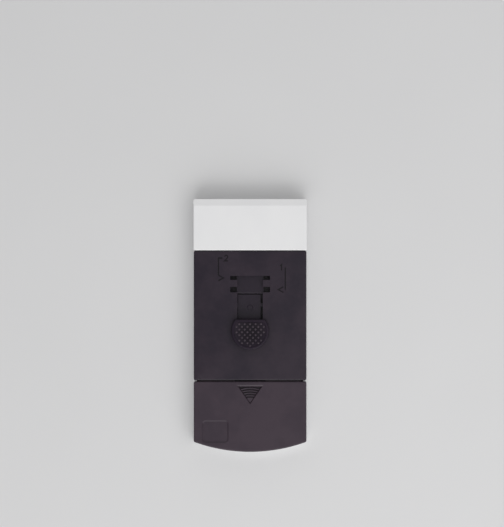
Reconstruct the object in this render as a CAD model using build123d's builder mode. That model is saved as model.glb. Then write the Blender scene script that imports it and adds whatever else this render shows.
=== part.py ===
from build123d import *

import os
from math import sqrt

# Ceramic hob scraper with a sliding double-edged blade. All sizes are in millimetres.
# X is across, Y is towards the blade and Z is up, with the black face on top. The origin is the
# middle of the footprint, on the flat underside. The slide is drawn back and the lid is shut.

# Blade, with a cutting edge along both long sides
blade_width = 43.0
blade_depth = 18.4
blade_thickness = 0.25
bevel_width = 0.9
edge_thickness = 0.05
notch_width = 2.4
notch_depth = 2.0
slot_length = 6.0
slot_width = 2.4
spare_count = 2

# Gaps: between running faces, seated faces, the cover and the head, the cover and the lid, the
# latch and its cover, the lid and what it slides over, and the root of the tongue and its pocket
running_gap = 0.15
seat_gap = 0.2
head_seam = 0.15
lid_seam = 0.5
latch_gap = 0.2
lid_gap = 0.1
root_gap = 0.3
overrun = 1.0

# Thicknesses and heights, from the floor up
floor = 1.5
rail_height = 0.4
carrier_plate = 1.85
hall_height = 3.35
plate = 1.6
wall = 1.6
jaw_top = floor + rail_height
carrier_bottom = jaw_top + running_gap
carrier_top = carrier_bottom + carrier_plate
slot_top = carrier_top + running_gap
wall_top = slot_top + hall_height
body_height = wall_top + plate
latch_top = wall_top - latch_gap

# Half widths, from the blade out to the side walls
carrier_margin = 0.5
guide_width = 2.25
plate_inset = 0.2
carrier_half = blade_width / 2 + carrier_margin
guide_half = carrier_half + running_gap
inner_half = guide_half + guide_width
body_half = inner_half + wall
plate_half = body_half - plate_inset

# Opening in the cover: a channel for the button's neck, with two pairs of windows for the ears
channel_inset = 11.7
channel_width = 11.6
window_reach = 3.3
front_window = 1.8
rear_window = 2.5
window_pitch = 5.35
using_travel = 7.0

# Button, a disc with a flat towards the blade
button_radius = 8.6
button_flat = 5.3
button_lift = 1.2
button_height = 2.4
button_corner = 1.5
button_edge = 0.6
pad_rim = 1.15
pad_depth = 0.2
pad_slope = 30
dish_depth = 0.35
neck_length = 7.6
neck_width = 9.4
neck_gap = 0.6
neck_corner = 1.0
clip_radius = 1.1
clip_gap = 0.1
clip_head = 0.2
clip_head_height = 0.35
clip_spacing = 5.4

# Tongue and the pocket that holds its root
tongue_thickness = 1.2
tongue_width = 10.4
tongue_shift = -0.4
tip_setback = 1.0
tip_round = 0.2
flexure_thickness = 0.8
flexure_length = 4.5
button_setback = 11.3
root_setback = 7.1
root_length = 1.6
root_width = 13.0
root_wall = 1.0
ear_gap = 0.3

# Lengths behind the slide
stop_gap = 0.5
bulkhead = 1.2
tab_gap = 0.3
tab_length = 2.6
tab_thickness = 1.2
head_length = 23.5
lid_length = 32.5
tail_radius = 75.0

# Depths back from the front edge, which add up to the length
channel_depth = head_length + channel_inset
front_window_depth = channel_depth + front_window / 2
rear_window_depth = front_window_depth + window_pitch
tip_depth = rear_window_depth + rear_window / 2 + tip_setback
flat_depth = tip_depth + button_setback
button_depth = flat_depth + button_flat
pivot_depth = button_depth + button_radius + root_setback
tongue_depth = pivot_depth + root_length
carrier_depth = tongue_depth + root_gap + root_wall
bulkhead_depth = carrier_depth + stop_gap
tab_depth = bulkhead_depth + bulkhead + tab_gap
lid_depth = tab_depth + tab_length
body_length = lid_depth + lid_length

# Places along Y
front = body_length / 2
back = -front
head_back = front - head_length
cover_front = head_back - head_seam
channel_front = front - channel_depth
front_window_y = front - front_window_depth
rear_window_y = front - rear_window_depth
tongue_front = front - tip_depth
button_y = front - button_depth
pivot_y = front - pivot_depth
tongue_back = front - tongue_depth
carrier_back = front - carrier_depth
bulkhead_front = front - bulkhead_depth
bulkhead_back = bulkhead_front - bulkhead
tab_front = front - tab_depth
lid_front = front - lid_depth
cover_back = lid_front + lid_seam
tail_centre = back + tail_radius
neck_y = button_y + (button_flat - button_radius) / 2
channel_back = neck_y - neck_length / 2 - neck_gap

# Fitted blade, drawn in behind the mouth
blade_inset = 0.6
blade_y = front - blade_inset - blade_depth / 2

# Roundings of the white mouldings, and of the two black plates
corner_radius = 1.0
edge_radius = 0.5
plate_corner = 0.8
plate_edge = 0.7

# Hooks on the skirts of the cover and the head, and the recesses they spring into
skirt = 1.2
skirt_lift = 0.35
hook_length = 4.0
hook_height = 0.8
hook_reach = 0.5
skirt_bottom = slot_top + skirt_lift
skirt_half = inner_half - seat_gap
hook_bottom = skirt_bottom + hook_height / 2
cover_skirt_front = cover_front - skirt
cover_skirt_back = bulkhead_front + seat_gap
head_skirt_back = head_back + skirt
head_skirt_front = front - wall
cover_hook_shares = (0.15, 0.5, 0.85)
head_hook_shares = (0.5,)


def places_between(low, high, shares):
    """Places that lie at shares of the way from low to high."""
    return [low + (high - low) * share for share in shares]


def corner_y(half, radius):
    """Y at which the tail arc of a radius meets a side at a half width."""
    return tail_centre - sqrt(radius**2 - half**2)


def footprint(inset, front_edge):
    """Plan outline from the tail arc to front_edge, drawn in by inset at the sides and the tail."""
    half = body_half - inset
    radius = tail_radius - inset
    side_end = corner_y(half, radius)
    with BuildSketch() as plan:
        with BuildLine():
            Polyline((-half, side_end), (-half, front_edge), (half, front_edge), (half, side_end))
            ThreePointArc((half, side_end), (0, tail_centre - radius), (-half, side_end))
        make_face()
    return plan.sketch


cover_hooks = places_between(cover_skirt_back, cover_skirt_front, cover_hook_shares)
head_hooks = places_between(head_skirt_back, head_skirt_front, head_hook_shares)

# Lid runners and the grooves in the side walls that they slide in, and the wall below the lid's tail
tail_drop = 1.8
runner_height = 0.7
runner_reach = 0.7
runner_web = 1.0
groove_gap = 0.15
tail_top = wall_top - tail_drop
runner_bottom = tail_top + lid_gap
runner_top = runner_bottom + runner_height
runner_back = corner_y(inner_half, tail_radius) + wall

# Chassis: one section through the slide's hall, and one through the store for spare blades
jaw_length = 8.0
rail_width = 2.5
rail_share = 0.45
peg_rise = 0.9
peg_gap = 0.15
rail_x = carrier_half * rail_share
store_end = corner_y(blade_width / 2, tail_radius - wall)
store_y = (bulkhead_back + store_end) / 2
peg_height = spare_count * blade_thickness + peg_rise

with BuildPart() as chassis:
    with BuildSketch():
        add(footprint(0, front))
    extrude(amount=wall_top)
    fillet(chassis.edges().filter_by(Axis.Z), radius=corner_radius)
    fillet(chassis.faces().sort_by(Axis.Z)[0].outer_wire().edges(), radius=edge_radius)
    # The hall, open through the mouth, with a guide step along each wall and two floor rails
    with BuildSketch(Plane.XZ.offset(-front - overrun)):
        with BuildLine():
            Polyline(
                (0, floor),
                (rail_x - rail_width / 2, floor),
                (rail_x - rail_width / 2, jaw_top),
                (rail_x + rail_width / 2, jaw_top),
                (rail_x + rail_width / 2, floor),
                (guide_half, floor),
                (guide_half, slot_top),
                (inner_half, slot_top),
                (inner_half, wall_top),
                (0, wall_top),
            )
            mirror(about=Plane.YZ)
        make_face()
    extrude(amount=front + overrun - bulkhead_front, mode=Mode.SUBTRACT)
    # The store, with its tail wall standing below the lid's runners
    with BuildSketch(Plane.XY.offset(floor)):
        add(footprint(wall, bulkhead_back))
    extrude(amount=wall_top - floor, mode=Mode.SUBTRACT)
    with BuildSketch(Plane.XY.offset(tail_top)):
        with Locations((0, (back - overrun + bulkhead_back) / 2)):
            Rectangle(2 * inner_half, bulkhead_back - back + overrun)
    extrude(amount=tail_drop, mode=Mode.SUBTRACT)
    with BuildSketch(Plane.XY.offset(wall_top - lid_gap)):
        with Locations((0, (back - overrun + lid_front) / 2)):
            Rectangle(2 * (body_half + overrun), lid_front - back + overrun)
    extrude(amount=lid_gap + overrun, mode=Mode.SUBTRACT)
    with BuildSketch(Plane.XZ.offset(-lid_front - groove_gap)):
        with Locations((0, (runner_bottom + runner_top) / 2)):
            Rectangle(2 * (inner_half + runner_reach + groove_gap), runner_height + 2 * groove_gap)
    extrude(amount=lid_front + groove_gap - back + overrun, mode=Mode.SUBTRACT)
    # The lower jaw of the mouth
    with BuildSketch(Plane.XY.offset(floor)):
        with Locations((0, front - jaw_length / 2)):
            Rectangle(2 * guide_half, jaw_length)
    extrude(amount=rail_height)
    # Recesses for the hooks
    with BuildSketch(Plane.XY.offset(hook_bottom - seat_gap)):
        with Locations(*[(0, y) for y in cover_hooks + head_hooks]):
            Rectangle(2 * (skirt_half + hook_reach + seat_gap), hook_length + 2 * seat_gap)
    extrude(amount=hook_height + 2 * seat_gap, mode=Mode.SUBTRACT)
    # Pegs that the spare blades drop over
    with BuildSketch(Plane.XY.offset(floor)):
        with Locations((0, store_y)):
            SlotOverall(slot_length - 2 * peg_gap, slot_width - 2 * peg_gap)
        with GridLocations(blade_width - notch_depth, 0, 2, 1):
            with Locations((0, store_y)):
                Rectangle(notch_depth - 2 * peg_gap, notch_width - 2 * peg_gap)
    extrude(amount=peg_height)

# Head: a plate with a bevelled front, an upper jaw, skirts with hooks, and two inner ribs
bevel_length = 3.0
bevel_drop = 0.8
rib = 1.2
head_rib_share = 0.44
head_rib_x = carrier_half * head_rib_share

with BuildPart() as head_cap:
    with BuildSketch(Plane.XY.offset(wall_top)):
        with Locations((0, front - head_length / 2)):
            Rectangle(2 * body_half, head_length)
    extrude(amount=plate)
    fillet(head_cap.edges().filter_by(Axis.Z), radius=corner_radius)
    fillet(head_cap.faces().sort_by(Axis.Z)[-1].outer_wire().edges(), radius=edge_radius)
    with BuildSketch(Plane.YZ):
        with BuildLine():
            Polyline(
                (front - bevel_length, body_height),
                (front + bevel_length, body_height),
                (front + bevel_length, body_height - 2 * bevel_drop),
                close=True,
            )
        make_face()
    extrude(amount=body_half + overrun, both=True, mode=Mode.SUBTRACT)
    with BuildSketch(Plane.XZ.offset(-front)):
        with Locations((0, (slot_top + wall_top) / 2)):
            Rectangle(2 * skirt_half, hall_height)
    extrude(amount=wall)
    with BuildSketch(Plane.XZ.offset(-head_skirt_front)):
        with GridLocations(2 * skirt_half - skirt, 0, 2, 1):
            with Locations((0, (skirt_bottom + wall_top) / 2)):
                Rectangle(skirt, wall_top - skirt_bottom)
    extrude(amount=head_skirt_front - head_skirt_back)
    with BuildSketch(Plane.XZ.offset(-head_skirt_front)):
        with GridLocations(2 * head_rib_x, 0, 2, 1):
            with Locations((0, (slot_top + wall_top) / 2)):
                Rectangle(rib, hall_height)
    extrude(amount=head_skirt_front - head_back - 2 * tab_length)
    with BuildSketch(Plane.XY.offset(hook_bottom)):
        with Locations(*[(x, y) for y in head_hooks for x in (-skirt_half, skirt_half)]):
            Rectangle(2 * hook_reach, hook_length)
    extrude(amount=hook_height)

# Cover: the opening, skirts with hooks, ribs that hold the slide down, and lips under the head
channel_length = channel_front - channel_back
window_width = channel_width + 2 * window_reach
cover_length = cover_front - cover_back
cover_rib_share = 0.67
lip_share = 0.86
lip_width = 5.0
lip_thickness = 1.0
cover_rib_x = carrier_half * cover_rib_share
lip_x = carrier_half * lip_share
lip_top = wall_top - seat_gap

with BuildPart() as top_cover:
    with BuildSketch(Plane.XY.offset(wall_top)):
        with Locations((0, (cover_front + cover_back) / 2)):
            Rectangle(2 * plate_half, cover_length)
    extrude(amount=plate)
    fillet(top_cover.edges().filter_by(Axis.Z), radius=plate_corner)
    fillet(top_cover.faces().sort_by(Axis.Z)[-1].outer_wire().edges(), radius=plate_edge)
    with BuildSketch(Plane.XY.offset(wall_top)):
        with Locations((0, channel_front - channel_length / 2)):
            Rectangle(channel_width, channel_length)
        with Locations((0, front_window_y)):
            Rectangle(window_width, front_window)
        with Locations((0, rear_window_y)):
            Rectangle(window_width, rear_window)
    extrude(amount=plate, mode=Mode.SUBTRACT)
    with BuildSketch(Plane.XZ.offset(-cover_skirt_front)):
        with GridLocations(2 * skirt_half - skirt, 0, 2, 1):
            with Locations((0, (skirt_bottom + wall_top) / 2)):
                Rectangle(skirt, wall_top - skirt_bottom)
        with GridLocations(2 * cover_rib_x, 0, 2, 1):
            with Locations((0, (slot_top + wall_top) / 2)):
                Rectangle(rib, hall_height)
    extrude(amount=cover_skirt_front - cover_skirt_back)
    with BuildSketch(Plane.XY.offset(hook_bottom)):
        with Locations(*[(x, y) for y in cover_hooks for x in (-skirt_half, skirt_half)]):
            Rectangle(2 * hook_reach, hook_length)
    extrude(amount=hook_height)
    with BuildSketch(Plane.YZ.offset(lip_x - lip_width / 2)):
        with BuildLine():
            Polyline(
                (cover_front - tab_length, wall_top),
                (cover_front, wall_top),
                (cover_front, lip_top),
                (cover_front + tab_length, lip_top),
                (cover_front + tab_length, lip_top - lip_thickness),
                (cover_front - tab_length, lip_top - lip_thickness),
                close=True,
            )
        make_face()
    lip = extrude(amount=lip_width)
    mirror(lip, about=Plane.YZ)

# Lid: the curved plate, a thumb arrow of arched ribs in a sunk triangle, and a sunk rounded square
arrow_inset = 1.6
arrow_width = 11.6
arrow_length = 8.9
arrow_depth = 0.8
arrow_slope = 35
arrow_lip = 0.45
lip_drop = 0.3
arrow_gap = 0.4
arrow_rib = 0.5
arrow_pitch = 1.12
arrow_ribs = 4
arrow_margin = 1.6
arch_radius = 10.0
arrow_hollow = 0.38
hollow_radius = 32.0
square_width = 12.4
square_length = 10.5
square_depth = 0.5
square_corner = 1.9
square_slope = 55
square_side = 3.6
square_tail = 4.3
arrow_base = lid_front - arrow_inset
arrow_tip = arrow_base - arrow_length
lip_y = arrow_base - arrow_lip
tip_radius = arch_radius - arrow_pitch + arrow_rib / 2
arch_y = arrow_base - arrow_margin - arrow_pitch * (arrow_ribs - 1) - arch_radius
square_x = -plate_half + square_side + square_width / 2
square_y = back + square_tail + square_length / 2
skirt_edge = plate_inset + wall

with BuildSketch() as arrow:
    with BuildLine():
        Polyline((-arrow_width / 2, lip_y), (arrow_width / 2, lip_y), (0, arrow_tip), close=True)
    make_face()

# Arched ribs and a solid tip, clear of the triangle's sides and hollowed along the middle
with BuildPart() as thumb_ribs:
    with BuildSketch(Plane.XY.offset(body_height - arrow_depth)):
        with Locations((0, arch_y)):
            for step in reversed(range(arrow_ribs)):
                Circle(arch_radius + arrow_pitch * step + arrow_rib / 2)
                Circle(arch_radius + arrow_pitch * step - arrow_rib / 2, mode=Mode.SUBTRACT)
            Circle(tip_radius)
        offset(arrow.sketch, amount=-arrow_gap, kind=Kind.INTERSECTION, mode=Mode.INTERSECT)
    extrude(amount=arrow_depth)
    with Locations((0, (arrow_base + arrow_tip) / 2, body_height - arrow_hollow + hollow_radius)):
        Cylinder(hollow_radius, arrow_length, rotation=(90, 0, 0), mode=Mode.SUBTRACT)

with BuildPart() as storage_lid:
    with BuildSketch(Plane.XY.offset(wall_top)):
        add(footprint(plate_inset, lid_front))
    extrude(amount=plate)
    fillet(storage_lid.edges().filter_by(Axis.Z), radius=plate_corner)
    fillet(storage_lid.faces().sort_by(Axis.Z)[-1].outer_wire().edges(), radius=plate_edge)
    with BuildSketch(Plane.XY.offset(body_height)):
        add(arrow.sketch)
    extrude(amount=-arrow_depth, taper=arrow_slope, mode=Mode.SUBTRACT)
    # The arrow's front edge has a flatter lip than its sides
    lid_face = storage_lid.faces().sort_by(Axis.Z)[-1]
    lip_edge = lid_face.edges().filter_by(Axis.X).sort_by_distance((0, lip_y, body_height))[0]
    chamfer(lip_edge, length=arrow_lip, length2=lip_drop, reference=lid_face)
    add(thumb_ribs.part)
    with BuildSketch(Plane.XY.offset(body_height)):
        with Locations((square_x, square_y)):
            RectangleRounded(square_width, square_length, square_corner)
    extrude(amount=-square_depth, taper=square_slope, mode=Mode.SUBTRACT)
    # Tail skirt, runners and the tab that tucks under the cover
    with BuildSketch(Plane.XY.offset(runner_bottom)):
        add(footprint(plate_inset, lid_front))
        add(footprint(skirt_edge, lid_front), mode=Mode.SUBTRACT)
        with Locations((0, (back + lid_front) / 2)):
            Rectangle(2 * skirt_half, lid_length, mode=Mode.INTERSECT)
    extrude(amount=wall_top - runner_bottom)
    with BuildSketch(Plane.XZ.offset(-lid_front)):
        with BuildLine():
            Polyline(
                (skirt_half - runner_web, wall_top),
                (skirt_half - runner_web, runner_bottom),
                (inner_half + runner_reach, runner_bottom),
                (inner_half + runner_reach, runner_top),
                (skirt_half, runner_top),
                (skirt_half, wall_top),
                close=True,
            )
        make_face()
        mirror(about=Plane.YZ)
    extrude(amount=lid_front - runner_back)
    with BuildSketch(Plane.YZ):
        with BuildLine():
            Polyline(
                (lid_front - tab_length, wall_top),
                (lid_front, wall_top),
                (lid_front, latch_top),
                (tab_front, latch_top),
                (tab_front, latch_top - tab_thickness),
                (lid_front - tab_length, latch_top - tab_thickness),
                close=True,
            )
        make_face()
    extrude(amount=skirt_half - skirt, both=True)

# Carrier: the plate that slides in the hall, with a seat and pegs for the blade under its front,
# a hollow deck that follows the tongue's tip, two stiffening ribs and a pocket for the root
carrier_lead = 0.2
deck_overlap = 3.2
deck_gap = 0.25
deck_step = 0.2
deck_margin = 0.35
deck_round = 0.6
stiffener_share = 0.55
stiffener_height = 1.7
blade_gap = 0.1
carrier_front = blade_y + notch_width / 2 + carrier_lead
carrier_length = carrier_front - carrier_back
seat_length = carrier_front - (blade_y - blade_depth / 2 - blade_gap)
deck_back = tongue_front + deck_gap
deck_length = channel_front + deck_overlap - deck_back
deck_width = channel_width + 2 * deck_margin
deck_top = latch_top - deck_step
stiffener_x = carrier_half * stiffener_share
pocket_front = pivot_y + root_gap
block_front = pocket_front + root_wall
block_width = root_width + 2 * (root_gap + root_wall)
pocket_floor = latch_top - tongue_thickness - root_gap

with BuildPart() as blade_carrier:
    with BuildSketch(Plane.XY.offset(carrier_bottom)):
        with Locations((0, (carrier_front + carrier_back) / 2)):
            RectangleRounded(2 * carrier_half, carrier_length, corner_radius)
    extrude(amount=carrier_plate)
    with BuildSketch(Plane.XY.offset(carrier_bottom)):
        with Locations((0, carrier_front + overrun - (seat_length + overrun) / 2)):
            Rectangle(2 * (carrier_half + overrun), seat_length + overrun)
    extrude(amount=blade_thickness, mode=Mode.SUBTRACT)
    with BuildSketch(Plane.XY.offset(carrier_bottom)):
        with Locations((0, blade_y)):
            SlotOverall(slot_length - 2 * peg_gap, slot_width - 2 * peg_gap)
        with GridLocations(blade_width - notch_depth, 0, 2, 1):
            with Locations((0, blade_y)):
                Rectangle(notch_depth - 2 * peg_gap, notch_width - 2 * peg_gap)
    extrude(amount=blade_thickness)
    with BuildSketch(Plane.XY.offset(carrier_top)):
        with Locations((0, deck_back + deck_length / 2)):
            Rectangle(deck_width, deck_length)
        with Locations((0, deck_back + (deck_length - rib) / 2)):
            Rectangle(deck_width - 2 * rib, deck_length - rib, mode=Mode.SUBTRACT)
    extrude(amount=deck_top - carrier_top)
    with BuildSketch(Plane.XY.offset(deck_top - tongue_thickness)):
        with Locations((0, deck_back + deck_length / 2)):
            Rectangle(deck_width, deck_length)
    extrude(amount=tongue_thickness)
    fillet(blade_carrier.faces().sort_by(Axis.Z)[-1].edges().sort_by(Axis.Y)[0], radius=deck_round)
    with BuildSketch(Plane.XY.offset(carrier_top)):
        with Locations((0, (deck_back + deck_length + block_front) / 2)):
            with GridLocations(2 * stiffener_x, 0, 2, 1):
                Rectangle(rib, deck_back + deck_length - block_front)
    extrude(amount=stiffener_height)
    # Pocket in the shape of the root, open on top and ahead
    with BuildSketch(Plane.XY.offset(carrier_top)):
        with Locations((0, (block_front + carrier_back) / 2)):
            Rectangle(block_width, block_front - carrier_back)
    extrude(amount=latch_top - carrier_top)
    with BuildSketch(Plane.XY.offset(pocket_floor)):
        with Locations((0, (pocket_front + tongue_back - root_gap) / 2)):
            Rectangle(root_width + 2 * root_gap, pocket_front - tongue_back + root_gap)
        with Locations((tongue_shift, (block_front + overrun + pivot_y) / 2)):
            Rectangle(tongue_width + 2 * root_gap, block_front + overrun - pivot_y)
    extrude(amount=latch_top - pocket_floor, mode=Mode.SUBTRACT)

# Tongue: a flat spring with a cross bar at its root, a pair of ears, holes for the button and the
# round mark of its ejector pin
mark_radius = 1.3
mark_depth = 0.2
mark_slope = 45
mark_setback = 6.0
ear_length = front_window - 2 * running_gap
ear_width = window_width - 2 * ear_gap
ear_y = rear_window_y - using_travel
tongue_bottom = latch_top - tongue_thickness
flexure_y = block_front + root_gap + flexure_length / 2

with BuildPart() as lock_tongue:
    with BuildSketch(Plane.XY.offset(tongue_bottom)):
        with Locations((tongue_shift, (tongue_front + tongue_back) / 2)):
            Rectangle(tongue_width, tongue_front - tongue_back)
    extrude(amount=tongue_thickness)
    fillet(lock_tongue.edges().filter_by(Axis.X).group_by(Axis.Y)[-1].sort_by(Axis.Z)[-1], radius=tip_round)
    with BuildSketch(Plane.XY.offset(tongue_bottom)):
        with Locations((0, ear_y)):
            Rectangle(ear_width, ear_length)
        with Locations((0, (pivot_y + tongue_back) / 2)):
            Rectangle(root_width, root_length)
    extrude(amount=tongue_thickness)
    with BuildSketch(Plane.XY.offset(tongue_bottom)):
        with Locations((tongue_shift, flexure_y)):
            Rectangle(tongue_width, flexure_length)
    extrude(amount=tongue_thickness - flexure_thickness, mode=Mode.SUBTRACT)
    with BuildSketch(Plane.XY.offset(tongue_bottom)):
        with Locations((0, neck_y)):
            with GridLocations(clip_spacing, 0, 2, 1):
                Circle(clip_radius + clip_gap)
    extrude(amount=tongue_thickness, mode=Mode.SUBTRACT)
    with BuildSketch(Plane.XY.offset(latch_top)):
        with Locations((0, tongue_front - mark_setback)):
            Circle(mark_radius)
    extrude(amount=-mark_depth, taper=mark_slope, mode=Mode.SUBTRACT)

# Button: a cap with a dished pad inside a rim, on a neck with two clips that snap through the tongue
button_bottom = body_height + button_lift
button_top = button_bottom + button_height
pad_radius = button_radius - pad_rim
dish_radius = (pad_radius**2 + dish_depth**2) / (2 * dish_depth)
dish_centre = button_top - pad_depth - dish_depth + dish_radius


def button_outline(inset):
    """Plan outline of the button, drawn in by inset all round."""
    with BuildSketch() as plan:
        with Locations((0, button_y)):
            Circle(button_radius - inset)
        with Locations((0, button_y + button_flat - inset + button_radius)):
            Rectangle(2 * button_radius, 2 * button_radius, mode=Mode.SUBTRACT)
        fillet(plan.vertices(), radius=button_corner)
    return plan.sketch


# The sphere's poles lie to the sides, off the pad
with BuildPart() as dished_pad:
    with BuildSketch(Plane.XY.offset(button_top)):
        add(button_outline(pad_rim))
    extrude(amount=-pad_depth - dish_depth, taper=pad_slope)
    with Locations((0, button_y, dish_centre)):
        Sphere(dish_radius, rotation=(0, 90, 0), mode=Mode.INTERSECT)

with BuildPart() as thumb_button:
    with BuildSketch(Plane.XY.offset(button_bottom)):
        add(button_outline(0))
    extrude(amount=button_height)
    fillet(thumb_button.faces().sort_by(Axis.Z)[-1].outer_wire().edges(), radius=button_edge)
    add(dished_pad.part, mode=Mode.SUBTRACT)
    with BuildSketch(Plane.XY.offset(latch_top)):
        with Locations((0, neck_y)):
            RectangleRounded(neck_width, neck_length, neck_corner)
    extrude(amount=button_bottom - latch_top)
    with BuildSketch(Plane.XY.offset(latch_top)):
        with Locations((0, neck_y)):
            with GridLocations(clip_spacing, 0, 2, 1):
                Circle(clip_radius)
    extrude(amount=-tongue_thickness - clip_gap)
    with BuildSketch(Plane.XY.offset(tongue_bottom - clip_gap)):
        with Locations((0, neck_y)):
            with GridLocations(clip_spacing, 0, 2, 1):
                Circle(clip_radius + clip_head)
    extrude(amount=-clip_head_height)


def make_blade(middle, bottom):
    """Flat blade with its middle at a Y and its underside at a height."""
    edge = bottom + blade_thickness / 2
    with BuildPart() as blade:
        with BuildSketch(Plane.YZ):
            with BuildLine():
                Polyline(
                    (middle, bottom),
                    (middle + blade_depth / 2 - bevel_width, bottom),
                    (middle + blade_depth / 2, edge - edge_thickness / 2),
                    (middle + blade_depth / 2, edge + edge_thickness / 2),
                    (middle + blade_depth / 2 - bevel_width, bottom + blade_thickness),
                    (middle - blade_depth / 2 + bevel_width, bottom + blade_thickness),
                    (middle - blade_depth / 2, edge + edge_thickness / 2),
                    (middle - blade_depth / 2, edge - edge_thickness / 2),
                    (middle - blade_depth / 2 + bevel_width, bottom),
                    close=True,
                )
            make_face()
        extrude(amount=blade_width / 2, both=True)
        with BuildSketch(Plane.XY.offset(bottom)):
            with Locations((0, middle)):
                SlotOverall(slot_length, slot_width)
                with GridLocations(blade_width, 0, 2, 1):
                    Rectangle(2 * notch_depth, notch_width)
        extrude(amount=blade_thickness, mode=Mode.SUBTRACT)
    return blade


pieces = {
    "chassis": chassis,
    "head_cap": head_cap,
    "top_cover": top_cover,
    "storage_lid": storage_lid,
    "blade_carrier": blade_carrier,
    "lock_tongue": lock_tongue,
    "thumb_button": thumb_button,
    "fitted_blade": make_blade(blade_y, carrier_bottom),
}
for number in range(spare_count):
    pieces[f"spare_blade_{number + 1}"] = make_blade(store_y, floor + number * blade_thickness)

os.makedirs("parts", exist_ok=True)
for name, piece in pieces.items():
    piece.part.label = name
    export_step(piece.part, f"parts/{name}.step")
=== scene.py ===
"""Finishes a hob scraper: its plastics and steel, the cover's sunk marks, the thumb dots and the studio."""

import math
from typing import NamedTuple

import bmesh
import bpy
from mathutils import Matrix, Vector


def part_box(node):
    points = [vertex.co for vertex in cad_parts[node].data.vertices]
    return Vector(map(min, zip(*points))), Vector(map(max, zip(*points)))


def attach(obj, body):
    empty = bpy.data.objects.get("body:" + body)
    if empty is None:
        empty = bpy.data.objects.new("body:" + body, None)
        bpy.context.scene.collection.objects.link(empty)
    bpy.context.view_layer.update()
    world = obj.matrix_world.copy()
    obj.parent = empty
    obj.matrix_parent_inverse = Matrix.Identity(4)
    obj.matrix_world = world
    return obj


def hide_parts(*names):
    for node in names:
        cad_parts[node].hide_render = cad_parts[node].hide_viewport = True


bl_info = {
    "name": "Hob scraper finish",
    "version": (1, 0, 0),
    "blender": (4, 5, 0),
    "location": "3D View > Sidebar > Scraper",
    "description": "Plastics, steel, sunk marks and thumb dots of a ceramic hob scraper",
    "category": "Object",
}

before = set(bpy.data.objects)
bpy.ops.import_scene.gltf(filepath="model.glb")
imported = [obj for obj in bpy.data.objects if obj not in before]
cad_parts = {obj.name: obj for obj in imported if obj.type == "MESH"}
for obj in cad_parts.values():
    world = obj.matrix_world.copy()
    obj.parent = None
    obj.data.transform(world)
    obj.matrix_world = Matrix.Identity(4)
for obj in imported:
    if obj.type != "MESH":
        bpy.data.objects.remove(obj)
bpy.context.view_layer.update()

MM = 0.001
CREASE_DEGREES = 30
COVER_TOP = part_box("top_cover")[1].z
LID_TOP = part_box("storage_lid")[1].z
BUTTON_LOW, BUTTON_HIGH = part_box("thumb_button")
BLADE_LOW, BLADE_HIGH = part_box("fitted_blade")
SPARE_LOW, SPARE_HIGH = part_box("spare_blade_1")

# The photograph's frame in pixels, where the object's middle lies in it, and its scale at the cover
PHOTO_WIDTH = 504
PHOTO_HEIGHT = 527
OBJECT_X = 250.1
OBJECT_Y = 325.75
PIXELS_PER_MM = 2.185


# Node trees written as expressions


class Wire:
    """An output socket. Python's operators on it add Math nodes."""

    def __init__(self, graph, socket):
        self.graph = graph
        self.socket = socket

    def __add__(self, other):
        return self.graph.math("ADD", self, other)

    def __radd__(self, other):
        return self.graph.math("ADD", other, self)

    def __sub__(self, other):
        return self.graph.math("SUBTRACT", self, other)

    def __rsub__(self, other):
        return self.graph.math("SUBTRACT", other, self)

    def __mul__(self, other):
        return self.graph.math("MULTIPLY", self, other)

    def __rmul__(self, other):
        return self.graph.math("MULTIPLY", other, self)

    def __abs__(self):
        return self.graph.math("ABSOLUTE", self)

    def __lt__(self, other):
        return self.graph.math("LESS_THAN", self, other)

    def __gt__(self, other):
        return self.graph.math("GREATER_THAN", self, other)


class Graph:
    """A shader or geometry tree, with one method that makes every node."""

    def __init__(self, tree):
        self.tree = tree

    def node(self, kind, settings=None, inputs=None):
        """Adds a node, sets it up, then feeds its inputs, which are named by identifier or numbered."""
        made = self.tree.nodes.new(kind)
        for name, value in (settings or {}).items():
            setattr(made, name, value)
        for key, value in (inputs or {}).items():
            if isinstance(key, int):
                socket = made.inputs[key]
            else:
                socket = next(s for s in made.inputs if s.identifier == key)
            if isinstance(value, Wire):
                self.tree.links.new(value.socket, socket)
            else:
                socket.default_value = value
        return made

    def wire(self, kind, settings=None, inputs=None, output=0):
        """Adds a node and gives back one of its outputs."""
        return Wire(self, self.node(kind, settings, inputs).outputs[output])

    def math(self, operation, *values):
        return self.wire("ShaderNodeMath", {"operation": operation}, dict(enumerate(values)))

    def vector(self, operation, *values):
        return self.wire("ShaderNodeVectorMath", {"operation": operation}, dict(enumerate(values)))

    def length(self, value):
        """Length of a vector."""
        return self.wire("ShaderNodeVectorMath", {"operation": "LENGTH"}, {0: value}, "Value")

    def parts(self, value):
        """The X, Y and Z of a vector."""
        split = self.node("ShaderNodeSeparateXYZ", None, {0: value})
        return [Wire(self, socket) for socket in split.outputs]

    def ramp(self, value, low, high):
        """0 below low, 1 above high, and a smooth step between them."""
        settings = {"interpolation_type": "SMOOTHSTEP"}
        return self.wire("ShaderNodeMapRange", settings, {"Value": value, "From Min": low, "From Max": high})

    def mixed(self, share, first, second):
        """A colour between two others."""
        inputs = {"Factor_Float": share, "A_Color": first, "B_Color": second}
        made = self.node("ShaderNodeMix", {"data_type": "RGBA"}, inputs)
        return Wire(self, next(s for s in made.outputs if s.identifier == "Result_Color"))


class Noise(NamedTuple):
    """The size of a noise's features in metres, and how far they are drawn out along the axes.

    Detail is the texture's own, and an offset keeps two noises apart. A fade is the pair of values
    between which the noise steps up from 0 to 1.
    """

    size: float
    stretch: tuple = (1, 1, 1)
    detail: int = 2
    offset: float = 0
    fade: tuple = ()


class Recess(NamedTuple):
    """Heights of a recess's floor, which is rougher and darkened with painted shade, and of the polished
    face around it, and its zone.

    The zone is how far it reaches from the middle, and its rearmost Y.
    """

    floor: float
    face: float
    reach: float
    rearmost: float


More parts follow.
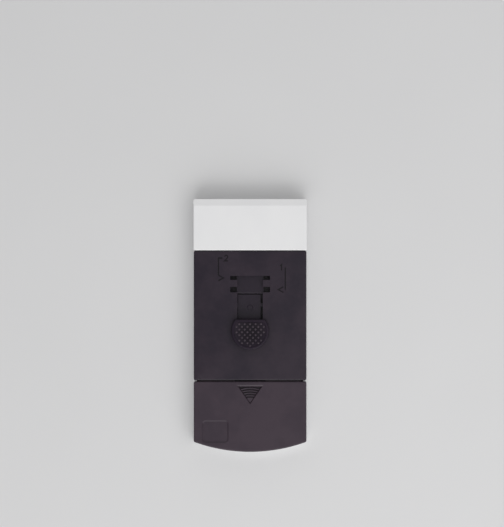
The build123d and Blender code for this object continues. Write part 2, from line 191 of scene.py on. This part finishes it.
class Finish(Graph):
    """The node tree of a new material with one Principled shader."""

    def __init__(self, name):
        self.material = bpy.data.materials.new(name)
        self.material.use_nodes = True
        super().__init__(self.material.node_tree)
        self.tree.nodes.clear()
        self.shader = self.node("ShaderNodeBsdfPrincipled")
        output = self.node("ShaderNodeOutputMaterial")
        self.tree.links.new(self.shader.outputs["BSDF"], output.inputs["Surface"])
        self.place = self.wire("ShaderNodeTexCoord", None, None, "Object")

    def noise(self, pattern):
        """A noise from 0 to 1 in the object's own space, with its fade if it has one."""
        scale = tuple(1 / (pattern.size * share) for share in pattern.stretch)
        offset = tuple(pattern.offset for _ in scale)
        spread = self.vector("MULTIPLY_ADD", self.place, scale, offset)
        inputs = {"Vector": spread, "Scale": 1, "Detail": pattern.detail}
        made = self.wire("ShaderNodeTexNoise", None, inputs)
        return self.ramp(made, *pattern.fade) if pattern.fade else made

    def feed(self, name, value):
        """Sets a socket of the shader, or links a wire to it."""
        if isinstance(value, Wire):
            self.tree.links.new(value.socket, self.shader.inputs[name])
        else:
            self.shader.inputs[name].default_value = value

    def bump(self, height, strength, distance):
        """Raises the surface by height times distance in metres."""
        inputs = {"Height": height, "Strength": strength, "Distance": distance}
        self.feed("Normal", self.wire("ShaderNodeBump", None, inputs))


# Settings


def colour_setting(name, description, default):
    return bpy.props.FloatVectorProperty(
        name=name, description=description, subtype="COLOR", size=3, min=0, max=1, default=default
    )


def length_setting(name, description, default):
    return bpy.props.FloatProperty(
        name=name, description=description, subtype="DISTANCE", unit="LENGTH", precision=5, default=default
    )


def share_setting(name, description, default):
    return bpy.props.FloatProperty(
        name=name, description=description, subtype="FACTOR", min=0, max=1, default=default
    )


class ScraperFinish(bpy.types.PropertyGroup):
    """Colours and textures of the mouldings and blades."""

    white: colour_setting("White", "Colour of the chassis and the head", (0.83, 0.83, 0.835))
    white_shade: colour_setting("White shade", "Duller white of the moulding's flow", (0.81, 0.81, 0.82))
    black: colour_setting("Black", "Darker patches of the mouldings", (0.0065, 0.0028, 0.0105))
    # The lighter colour that the clouds of the black run to is painted sheen, standing in for reflections.
    black_painted_sheen: colour_setting("Black sheen", "Lighter patches of the mouldings", (0.040, 0.0265, 0.038))
    # The sunk floor colour is painted shade that darkens the floors of the sunk marks and recesses.
    sunk: colour_setting("Sunk floor", "Shaded floor of the sunk marks", (0.005, 0.003, 0.006))
    steel: colour_setting("Steel", "Flat of the blades", (0.50, 0.51, 0.53))
    ground_steel: colour_setting("Ground steel", "Ground bevels of the blades", (0.78, 0.79, 0.80))
    patch: length_setting("Patch", "Size of the clouds in the satin sheen", 14 * MM)
    grain: length_setting("Grain", "Size of the spark-eroded grain", 0.28 * MM)
    grain_height: length_setting("Grain height", "Height of the grain", 0.012 * MM)
    black_roughness: share_setting("Black roughness", "Roughness of the black mouldings", 0.38)
    white_roughness: share_setting("White roughness", "Roughness of the white mouldings", 0.32)


class ScraperMarks(bpy.types.PropertyGroup):
    """The marks sunk into the cover beside the lock windows."""

    stroke: length_setting("Stroke", "Width of a sunk stroke", 0.55 * MM)
    depth: length_setting("Depth", "Depth of the marks", 0.35 * MM)
    front_window: length_setting("Front window", "Y of the front pair of windows", 21.9 * MM)
    rear_window: length_setting("Rear window", "Y of the rear pair of windows", 16.55 * MM)
    left_line: length_setting("Left line", "Distance of the left leader from the middle", 14.5 * MM)
    right_line: length_setting("Right line", "Distance of the right leader from the middle", 16.1 * MM)
    left_top: length_setting("Left top", "Y at which the left leader starts", 31.0 * MM)
    right_top: length_setting("Right top", "Y at which the right leader starts", 26.7 * MM)
    arrow: length_setting("Arrow", "Length of an arrowhead", 2.3 * MM)
    numeral: length_setting("Numeral", "Height of a position number", 2.6 * MM)


class ScraperDots(bpy.types.PropertyGroup):
    """The raised dots on the thumb button."""

    pitch: length_setting("Pitch", "Distance between neighbouring dots", 1.76 * MM)
    radius: length_setting("Radius", "Radius of a dot", 0.52 * MM)
    height: length_setting("Height", "Height of a dot", 0.24 * MM)
    margin: length_setting("Margin", "Plain rim between the dots' middles and the button's edge", 1.75 * MM)
    centre: length_setting("Centre", "Y of the dot in the middle of the pattern", -4.05 * MM)


class ScraperStudio(bpy.types.PropertyGroup):
    """The camera, the floor and the lamps."""

    camera_height: length_setting("Camera height", "Height of the camera over the cover", 0.9)
    floor_size: length_setting("Floor size", "Side of the square floor", 6.0)
    floor: colour_setting("Floor", "Colour of the floor", (0.71, 0.71, 0.715))
    backdrop: colour_setting("Backdrop", "What is seen and mirrored past the floor", (0.64, 0.64, 0.645))
    room: share_setting("Room light", "Strength of the light from all round", 0.37)
    lamp_power: bpy.props.FloatProperty(
        name="Lamp power",
        description="Watts of the tail's lamp, if it hung one metre away",
        min=0,
        default=6.9,
    )
    head_share: share_setting("Head share", "Power of the head's lamp, as a share of the tail's", 0.3)
    top_share: share_setting("Top share", "Power of the lamp overhead, as a share of the tail's", 0.6)


# Meshes


def settle(piece):
    """Turns what a piece's modifiers make into its plain mesh."""
    graph = bpy.context.evaluated_depsgraph_get()
    mesh = bpy.data.meshes.new_from_object(piece.evaluated_get(graph), depsgraph=graph)
    piece.modifiers.clear()
    old = piece.data
    piece.data = mesh
    bpy.data.meshes.remove(old)


def new_piece(name, mesh):
    piece = bpy.data.objects.new(name, mesh)
    bpy.context.scene.collection.objects.link(piece)
    return piece


def smooth_by_angle(mesh, degrees):
    """Smooth shading, with sharp edges where the faces turn by more than an angle."""
    mesh.polygons.foreach_set("use_smooth", [True] * len(mesh.polygons))
    mesh.set_sharp_from_angle(angle=math.radians(degrees))


def welded_copy(node, name):
    """A piece with a CAD node's shape, its loose triangles joined along their edges."""
    weld = 0.001 * MM
    solid = bmesh.new()
    solid.from_mesh(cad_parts[node].data)
    bmesh.ops.remove_doubles(solid, verts=solid.verts, dist=weld)
    solid.verts.index_update()
    corners = [v.co[:] for v in solid.verts]
    faces = [[v.index for v in f.verts] for f in solid.faces]
    solid.free()
    mesh = bpy.data.meshes.new(name)
    mesh.from_pydata(corners, [], faces)
    return new_piece(name, mesh)


def stroke_outline(path, width):
    """Outline of a stroke along a path of points, with mitred corners."""
    points = [Vector(p) for p in path]
    runs = [(b - a).normalized() for a, b in zip(points, points[1:])]
    left, right = [], []
    for point, before, after in zip(points, runs[:1] + runs, runs + runs[-1:]):
        side = (before.orthogonal() + after.orthogonal()).normalized()
        reach = side * (width / 2 / side.dot(before.orthogonal()))
        left.append(point + reach)
        right.append(point - reach)
    return left + right[::-1]


def add_prism(solid, outline, low, high):
    """Adds an upright prism over an outline to a bmesh."""
    rings = [[solid.verts.new((p.x, p.y, z)) for p in outline] for z in (low, high)]
    solid.faces.new(rings[0])
    solid.faces.new(rings[1])
    for i in range(len(outline)):
        j = i - 1
        solid.faces.new((rings[0][j], rings[0][i], rings[1][i], rings[1][j]))


def numeral_two():
    """Path of a two, one unit high: a bow, a slant and a foot."""
    bow_radius = 0.27
    bow_middle = 0.72
    foot_reach = 0.30
    first = math.radians(170)
    last = math.radians(-40)
    steps = 8
    turns = [first + (last - first) * i / steps for i in range(steps + 1)]
    bow = [(bow_radius * math.cos(t), bow_middle + bow_radius * math.sin(t)) for t in turns]
    return bow + [(-foot_reach, 0), (foot_reach, 0)]


def numeral_one():
    """Path of a one, one unit high: a flag and an upright."""
    flag_tip = (-0.26, 0.74)
    return [flag_tip, (0, 1), (0, 0)]


def placed(path, scale, x, y):
    """A path made larger and set down at a place."""
    return [(x + scale * p[0], y + scale * p[1]) for p in path]


def cover_marks(marks):
    """Paths of every sunk stroke: two leaders with arrowheads and the two position numbers."""
    half_share = 0.55
    tick_share = 0.8
    gap_share = 0.4
    number_gap_share = 0.65
    half = half_share * marks.arrow
    tick = tick_share * marks.arrow
    number_gap = number_gap_share * marks.numeral
    left = -marks.left_line
    right = marks.right_line
    front = marks.front_window
    rear = marks.rear_window
    back = right - gap_share * marks.arrow
    tip = back - marks.arrow
    left_number_y = marks.left_top - marks.numeral / 2
    right_number_y = marks.right_top - marks.numeral / 2
    left_leader = [
        (left + tick, marks.left_top),
        (left, marks.left_top),
        (left, front + half),
        (left + marks.arrow, front),
        (left, front - half),
    ]
    return [
        left_leader,
        [(right, marks.right_top), (right, rear)],
        [(back, rear + half), (tip, rear), (back, rear - half)],
        placed(numeral_two(), marks.numeral, left + tick + number_gap, left_number_y),
        placed(numeral_one(), marks.numeral, right - number_gap, right_number_y),
    ]


# Finishes


def satin_black(name, finish, least, most, recess=None, gloss=0.3):
    """Satin black moulding whose clouds of painted sheen run from one share to another.

    The surface has an eroded grain and fine rubs. A recess has a rougher floor, darkened with painted shade.
    """
    cloud_share = 0.85
    fine_cloud_share = 0.15
    fine_cloud_roughness = 0.05
    cloud_polish = 0.06
    rub_polish = 0.03
    floor_roughness = 0.3
    coarse_grain_share = 0.35
    grain_strength = 0.6
    fine_patch = finish.patch / 6
    coarse_grain = finish.grain * 6
    look = Finish(name)
    clouds = look.noise(Noise(finish.patch, detail=3, fade=(0.32, 0.70)))
    fine_clouds = look.noise(Noise(fine_patch, offset=3, fade=(0.35, 0.75)))
    rubs = look.noise(Noise(0.5 * MM, stretch=(1, 22, 1), detail=1, offset=7, fade=(0.60, 0.74)))
    share = least + (most - least) * (cloud_share * clouds + fine_cloud_share * fine_clouds)
    # Painted sheen: the clouds lighten the black towards the sheen colour.
    colour = look.mixed(share, (*finish.black, 1), (*finish.black_painted_sheen, 1))
    rise = fine_cloud_roughness * fine_clouds
    roughness = finish.black_roughness + rise - cloud_polish * clouds - rub_polish * rubs
    if recess:
        x, y, z = look.parts(look.place)
        face = look.ramp(z, recess.floor, recess.face)
        for outside in (abs(x) > recess.reach, y < recess.rearmost):
            face = look.math("MAXIMUM", face, outside)
        # Painted shade: below the face the colour darkens to the sunk floor colour.
        colour = look.mixed(face, (*finish.sunk, 1), colour)
        roughness = roughness + floor_roughness * (1 - face)
    look.feed("Base Color", colour)
    look.feed("Roughness", roughness)
    look.feed("Specular IOR Level", gloss)
    coarse = look.noise(Noise(coarse_grain, detail=1, offset=5))
    grain = look.noise(Noise(finish.grain)) + coarse_grain_share * coarse
    look.bump(grain, grain_strength, finish.grain_height)
    return look.material


def gloss_white(name, finish):
    """Smooth white moulding with faint flow, a shallow orange peel and a few fine rubs."""
    flow_roughness = 0.04
    rub_roughness = 0.02
    gloss = 0.4
    peel_strength = 0.30
    peel_height = 0.015 * MM
    look = Finish(name)
    flow = look.noise(Noise(16 * MM, stretch=(1, 1.6, 1), fade=(0.30, 0.75)))
    peel = look.noise(Noise(1.4 * MM, offset=2))
    rubs = look.noise(Noise(0.35 * MM, stretch=(1, 24, 1), detail=1, offset=9, fade=(0.66, 0.76)))
    look.feed("Base Color", look.mixed(flow, (*finish.white_shade, 1), (*finish.white, 1)))
    look.feed("Roughness", finish.white_roughness + flow_roughness * flow + rub_roughness * rubs)
    look.feed("Specular IOR Level", gloss)
    look.bump(peel, peel_strength, peel_height)
    return look.material


def blade_steel(name, finish, low, high):
    """Rolled steel strip with ground bevels along both long edges, and a thin film of oil."""
    bevel = 0.9 * MM
    bevel_blur_share = 0.04
    oiled_steel = (0.44, 0.44, 0.50, 1)
    film_share = 0.5
    steel_roughness = 0.30
    rolling_roughness = 0.14
    film_roughness = 0.06
    ground_polish = 0.12
    line_strength = 0.5
    line_height = 0.006 * MM
    look = Finish(name)
    middle = (low.y + high.y) / 2
    half = (high.y - low.y) / 2
    y = look.parts(look.place)[1]
    bevel_start = half - (1 + bevel_blur_share) * bevel
    bevel_full = half - (1 - bevel_blur_share) * bevel
    ground = look.ramp(abs(y - middle), bevel_start, bevel_full)
    rolling = look.noise(Noise(0.12 * MM, stretch=(60, 1, 1)))
    grinding = look.noise(Noise(0.10 * MM, stretch=(1, 25, 1), offset=4))
    film = look.noise(Noise(7 * MM, stretch=(1.6, 1, 1), detail=3, offset=6, fade=(0.40, 0.72)))
    flat = look.mixed(film_share * film, (*finish.steel, 1), oiled_steel)
    look.feed("Base Color", look.mixed(ground, flat, (*finish.ground_steel, 1)))
    look.feed("Metallic", 1.0)
    dull = steel_roughness + rolling_roughness * rolling + film_roughness * film
    look.feed("Roughness", dull - ground_polish * ground)
    lines = rolling * (1 - ground) + grinding * ground
    look.bump(lines, line_strength, line_height)
    return look.material


def dress(node, material):
    """Gives a CAD node its material."""
    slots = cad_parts[node].data.materials
    slots.clear()
    slots.append(material)


# Thumb dots


def dot_tree(material):
    """Geometry nodes that set a diamond pattern of domes on the button's dished face."""
    diamond_turn = (0, 0, math.radians(45))
    down = (0, 0, -1)
    ray_length = 1.0
    dome_subdivisions = 3
    tree = bpy.data.node_groups.new("Thumb dots", "GeometryNodeTree")
    tree.interface.new_socket("Geometry", in_out="OUTPUT", socket_type="NodeSocketGeometry")
    inputs = {
        "Button": "NodeSocketObject",
        "Pitch": "NodeSocketFloat",
        "Count": "NodeSocketInt",
        "Centre": "NodeSocketVector",
        "Disc Centre": "NodeSocketVector",
        "Disc Radius": "NodeSocketFloat",
        "Flat": "NodeSocketFloat",
        "Dot Size": "NodeSocketVector",
    }
    for name, kind in inputs.items():
        tree.interface.new_socket(name, in_out="INPUT", socket_type=kind)
    graph = Graph(tree)
    group = graph.node("NodeGroupInput")
    given = {name: Wire(graph, group.outputs[name]) for name in inputs}
    side = given["Pitch"] * (given["Count"] - 1)
    grid_inputs = {
        "Size X": side,
        "Size Y": side,
        "Vertices X": given["Count"],
        "Vertices Y": given["Count"],
    }
    grid = graph.wire("GeometryNodeMeshGrid", None, grid_inputs)
    diamond = {"Geometry": grid, "Translation": given["Centre"], "Rotation": diamond_turn}
    lattice = graph.wire("GeometryNodeTransform", None, diamond)
    place = graph.wire("GeometryNodeInputPosition")
    from_disc = graph.length(graph.vector("SUBTRACT", place, given["Disc Centre"]))
    inside = (from_disc < given["Disc Radius"]) * (graph.parts(place)[1] < given["Flat"])
    kept = graph.wire("GeometryNodeSeparateGeometry", None, {"Geometry": lattice, "Selection": inside})
    button = graph.wire("GeometryNodeObjectInfo", None, {"Object": given["Button"]}, "Geometry")
    ray = {"Target Geometry": button, "Ray Direction": down, "Ray Length": ray_length}
    hit = graph.wire("GeometryNodeRaycast", None, ray, "Hit Position")
    seated = graph.wire("GeometryNodeSetPosition", None, {"Geometry": kept, "Position": hit})
    unit_dome = {"Radius": 1.0, "Subdivisions": dome_subdivisions}
    dome = graph.wire("GeometryNodeMeshIcoSphere", None, unit_dome)
    dome = graph.wire("GeometryNodeSetShadeSmooth", None, {"Geometry": dome})
    dome = graph.wire("GeometryNodeTransform", None, {"Geometry": dome, "Scale": given["Dot Size"]})
    dots = graph.wire("GeometryNodeInstanceOnPoints", None, {"Points": seated, "Instance": dome})
    real = graph.wire("GeometryNodeRealizeInstances", None, {"Geometry": dots})
    finished = graph.wire("GeometryNodeSetMaterial", None, {"Geometry": real, "Material": material})
    graph.node("NodeGroupOutput", None, {0: finished})
    return tree


def set_inputs(modifier, values):
    """Sets a modifier's inputs by their names in the tree's interface."""
    for item in modifier.node_group.interface.items_tree:
        if item.item_type == "SOCKET" and item.in_out == "INPUT":
            modifier[item.identifier] = values[item.name]


# Operators


class ScraperOperator:
    """What the scraper's operators share."""

    bl_options = {"REGISTER"}


class SCRAPER_OT_white(ScraperOperator, bpy.types.Operator):
    """Gives the chassis and the head their white plastic"""

    bl_idname = "scraper.white"
    bl_label = "White mouldings"

    def execute(self, context):
        white = gloss_white("white_moulding", context.scene.scraper_finish)
        dress("chassis", white)
        dress("head_cap", white)
        return {"FINISHED"}


class SCRAPER_OT_cover(ScraperOperator, bpy.types.Operator):
    """Makes the cover with its leaders, arrowheads and position numbers cut into it"""

    bl_idname = "scraper.cover"
    bl_label = "Marked cover"

    def execute(self, context):
        finish = context.scene.scraper_finish
        marks = context.scene.scraper_marks
        # Painted shade on the floors of the cut marks.
        recess = Recess(
            floor=COVER_TOP - 0.20 * MM, face=COVER_TOP - 0.06 * MM, reach=24 * MM, rearmost=-60 * MM
        )
        # The cover's clouds stay at a darker share than the lid's: painted shade.
        black = satin_black("cover_moulding", finish, least=0.05, most=0.48, recess=recess)
        cover = welded_copy("top_cover", "marked_cover")
        cutter_shape = bmesh.new()
        for path in cover_marks(marks):
            outline = stroke_outline(path, marks.stroke)
            add_prism(cutter_shape, outline, COVER_TOP - marks.depth, COVER_TOP + marks.depth)
        bmesh.ops.recalc_face_normals(cutter_shape, faces=cutter_shape.faces)
        cutter_mesh = bpy.data.meshes.new("mark_cutter")
        cutter_shape.to_mesh(cutter_mesh)
        cutter_shape.free()
        cutter = new_piece("mark_cutter", cutter_mesh)
        cut = cover.modifiers.new("Marks", "BOOLEAN")
        cut.operation = "DIFFERENCE"
        cut.solver = "EXACT"
        cut.object = cutter
        settle(cover)
        if not cover.data.polygons:
            raise RuntimeError("the marks overlap, so the cover was left empty")
        bpy.data.objects.remove(cutter)
        bpy.data.meshes.remove(cutter_mesh)
        smooth_by_angle(cover.data, CREASE_DEGREES)
        cover.data.materials.clear()
        cover.data.materials.append(black)
        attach(cover, "shell")
        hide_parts("top_cover")
        return {"FINISHED"}


class SCRAPER_OT_slide(ScraperOperator, bpy.types.Operator):
    """Gives the lid, the carrier and the tongue their black plastic"""

    bl_idname = "scraper.slide"
    bl_label = "Lid and slide"

    def execute(self, context):
        finish = context.scene.scraper_finish
        # Painted shade on the floor of the lid's sunk arrow.
        recess = Recess(
            floor=LID_TOP - 0.90 * MM, face=LID_TOP - 0.40 * MM, reach=7 * MM, rearmost=-37 * MM
        )
        # The lid's clouds run to a lighter share than the cover's: painted light that makes the lid lighter
        # than the cover.
        lid = satin_black("lid_moulding", finish, least=0.66, most=1.10, recess=recess)
        inner = satin_black("slide_moulding", finish, least=0.00, most=0.20)
        dress("storage_lid", lid)
        dress("blade_carrier", inner)
        dress("lock_tongue", inner)
        return {"FINISHED"}


class SCRAPER_OT_button(ScraperOperator, bpy.types.Operator):
    """Gives the thumb button its plastic and its dots"""

    bl_idname = "scraper.button"
    bl_label = "Thumb button"

    def execute(self, context):
        dots = context.scene.scraper_dots
        finish = context.scene.scraper_finish
        # Painted shade in the button's dish, between the dots.
        recess = Recess(
            floor=BUTTON_HIGH.z - 0.60 * MM, face=BUTTON_HIGH.z - 0.05 * MM, reach=10 * MM, rearmost=-60 * MM
        )
        # The pad's black runs to a darker share: painted shade over the whole button.
        pad = satin_black("button_moulding", finish, least=0.05, most=0.35, recess=recess, gloss=0.18)
        dress("thumb_button", pad)
        # The dots get a lighter share of the black: a painted highlight on their tops.
        black = satin_black("dot_moulding", finish, least=0.60, most=1.00)
        radius = (BUTTON_HIGH.x - BUTTON_LOW.x) / 2
        disc_y = BUTTON_LOW.y + radius
        over = BUTTON_HIGH.z + 1 * MM
        # An odd number of dots each way, so that one lies in the middle, and enough to pass the edge
        rows = 2 * math.ceil(radius / dots.pitch) + 5
        piece = new_piece("button_dots", bpy.data.meshes.new("button_dots"))
        nodes = piece.modifiers.new("Dots", "NODES")
        nodes.node_group = dot_tree(black)
        values = {
            "Button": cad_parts["thumb_button"],
            "Pitch": dots.pitch,
            "Count": rows,
            "Centre": (0, dots.centre, over),
            "Disc Centre": (0, disc_y, over),
            "Disc Radius": radius - dots.margin,
            "Flat": BUTTON_HIGH.y - dots.margin,
            "Dot Size": (dots.radius, dots.radius, dots.height),
        }
        set_inputs(nodes, values)
        settle(piece)
        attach(piece, "latch")
        return {"FINISHED"}


class SCRAPER_OT_blades(ScraperOperator, bpy.types.Operator):
    """Gives the fitted blade and the spare blades their steel"""

    bl_idname = "scraper.blades"
    bl_label = "Blades"

    def execute(self, context):
        finish = context.scene.scraper_finish
        dress("fitted_blade", blade_steel("fitted_steel", finish, BLADE_LOW, BLADE_HIGH))
        spare = blade_steel("spare_steel", finish, SPARE_LOW, SPARE_HIGH)
        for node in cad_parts:
            if node.startswith("spare_blade"):
                dress(node, spare)
        return {"FINISHED"}


class SCRAPER_OT_studio(ScraperOperator, bpy.types.Operator):
    """Sets up the floor, the room, the lamps and the camera over the tool"""

    bl_idname = "scraper.studio"
    bl_label = "Studio"

    def execute(self, context):
        studio = context.scene.scraper_studio
        self.lay_floor(studio)
        self.light_room(context.scene, studio)
        self.hang_lamps(studio)
        self.set_camera(context.scene, studio)
        return {"FINISHED"}

    def lay_floor(self, studio):
        """A matt sheet just below the tool, with faint clouds of tone."""
        drop = 0.05 * MM
        shade_share = 0.97
        sheet = bmesh.new()
        bmesh.ops.create_grid(sheet, x_segments=1, y_segments=1, size=studio.floor_size / 2)
        bmesh.ops.translate(sheet, verts=sheet.verts, vec=(0, 0, -drop))
        mesh = bpy.data.meshes.new("studio_floor")
        sheet.to_mesh(mesh)
        sheet.free()
        floor = new_piece("studio_floor", mesh)
        look = Finish("floor_paper")
        tone = look.noise(Noise(60 * MM))
        shade = tuple(shade_share * c for c in studio.floor)
        look.feed("Base Color", look.mixed(tone, (*shade, 1), (*studio.floor, 1)))
        look.feed("Roughness", 0.85)
        look.feed("Specular IOR Level", 0.1)
        mesh.materials.append(look.material)

    def light_room(self, scene, studio):
        """A room that lights the object evenly, and that is seen and mirrored as a pale backdrop."""
        world = bpy.data.worlds.new("studio_room")
        world.use_nodes = True
        scene.world = world
        graph = Graph(world.node_tree)
        graph.tree.nodes.clear()
        path = graph.node("ShaderNodeLightPath")
        rays = ("Is Camera Ray", "Is Glossy Ray", "Is Transmission Ray")
        camera, glossy, transmission = (Wire(graph, path.outputs[ray]) for ray in rays)
        seen = camera + glossy + transmission
        lit = tuple(studio.room for _ in range(3))
        colour = graph.mixed(seen, (*lit, 1), (*studio.backdrop, 1))
        background = graph.wire("ShaderNodeBackground", None, {"Color": colour, "Strength": 1.0})
        graph.node("ShaderNodeOutputWorld", None, {"Surface": background})

    def hang_lamps(self, studio):
        """Large soft lamps beyond the tail, beyond the head, and overhead to the right.

        Each is as large and as strong as its distance asks, so that moving it away changes little.
        """
        length_share = 1.80
        width_share = 0.80
        lamps = (
            ("tail_lamp", Vector((0.20, -1.20, 0.80)), 1.0),
            ("head_lamp", Vector((-0.20, 1.20, 0.80)), studio.head_share),
            ("top_lamp", Vector((0.30, -0.30, 0.75)), studio.top_share),
        )
        for name, location, share in lamps:
            lamp = bpy.data.lights.new(name, "AREA")
            lamp.shape = "RECTANGLE"
            lamp.size = length_share * location.length
            lamp.size_y = width_share * location.length
            lamp.energy = studio.lamp_power * share * location.length_squared
            hung = bpy.data.objects.new(name, lamp)
            hung.location = location
            hung.rotation_euler = (-hung.location).to_track_quat("-Z", "Y").to_euler()
            bpy.context.scene.collection.objects.link(hung)

    def set_camera(self, scene, studio):
        """Looks straight down, with the object where the photograph has it."""
        sensor = 36.0
        camera = bpy.data.cameras.new("photo_camera")
        camera.sensor_fit = "HORIZONTAL"
        camera.sensor_width = sensor
        seen_width = PHOTO_WIDTH / PIXELS_PER_MM * MM
        camera.lens = sensor * studio.camera_height / seen_width
        placed_camera = bpy.data.objects.new("photo_camera", camera)
        x = (PHOTO_WIDTH / 2 - OBJECT_X) / PIXELS_PER_MM * MM
        y = (OBJECT_Y - PHOTO_HEIGHT / 2) / PIXELS_PER_MM * MM
        placed_camera.location = (x, y, COVER_TOP + studio.camera_height)
        scene.collection.objects.link(placed_camera)
        scene.camera = placed_camera
        scene.view_settings.view_transform = "Standard"


class SCRAPER_PT_panel(bpy.types.Panel):
    """Lists the scraper's operators and settings in the sidebar"""

    bl_idname = "SCRAPER_PT_panel"
    bl_label = "Hob scraper"
    bl_space_type = "VIEW_3D"
    bl_region_type = "UI"
    bl_category = "Scraper"

    def draw(self, context):
        layout = self.layout
        for operator in OPERATORS:
            layout.operator(operator.bl_idname)
        for name in SETTINGS:
            group = getattr(context.scene, name)
            box = layout.box()
            for setting in group.__annotations__:
                box.prop(group, setting)


SETTINGS = {
    "scraper_finish": ScraperFinish,
    "scraper_marks": ScraperMarks,
    "scraper_dots": ScraperDots,
    "scraper_studio": ScraperStudio,
}
OPERATORS = (
    SCRAPER_OT_white,
    SCRAPER_OT_cover,
    SCRAPER_OT_slide,
    SCRAPER_OT_button,
    SCRAPER_OT_blades,
    SCRAPER_OT_studio,
)


def register():
    for made in (*SETTINGS.values(), *OPERATORS, SCRAPER_PT_panel):
        bpy.utils.register_class(made)
    for name, group in SETTINGS.items():
        setattr(bpy.types.Scene, name, bpy.props.PointerProperty(type=group))


def unregister():
    for name in SETTINGS:
        delattr(bpy.types.Scene, name)
    for made in (SCRAPER_PT_panel, *reversed(OPERATORS), *reversed(SETTINGS.values())):
        bpy.utils.unregister_class(made)


def main():
    register()
    bpy.ops.scraper.white()
    bpy.ops.scraper.cover()
    bpy.ops.scraper.slide()
    bpy.ops.scraper.button()
    bpy.ops.scraper.blades()
    bpy.ops.scraper.studio()


if __name__ == "__main__":
    main()
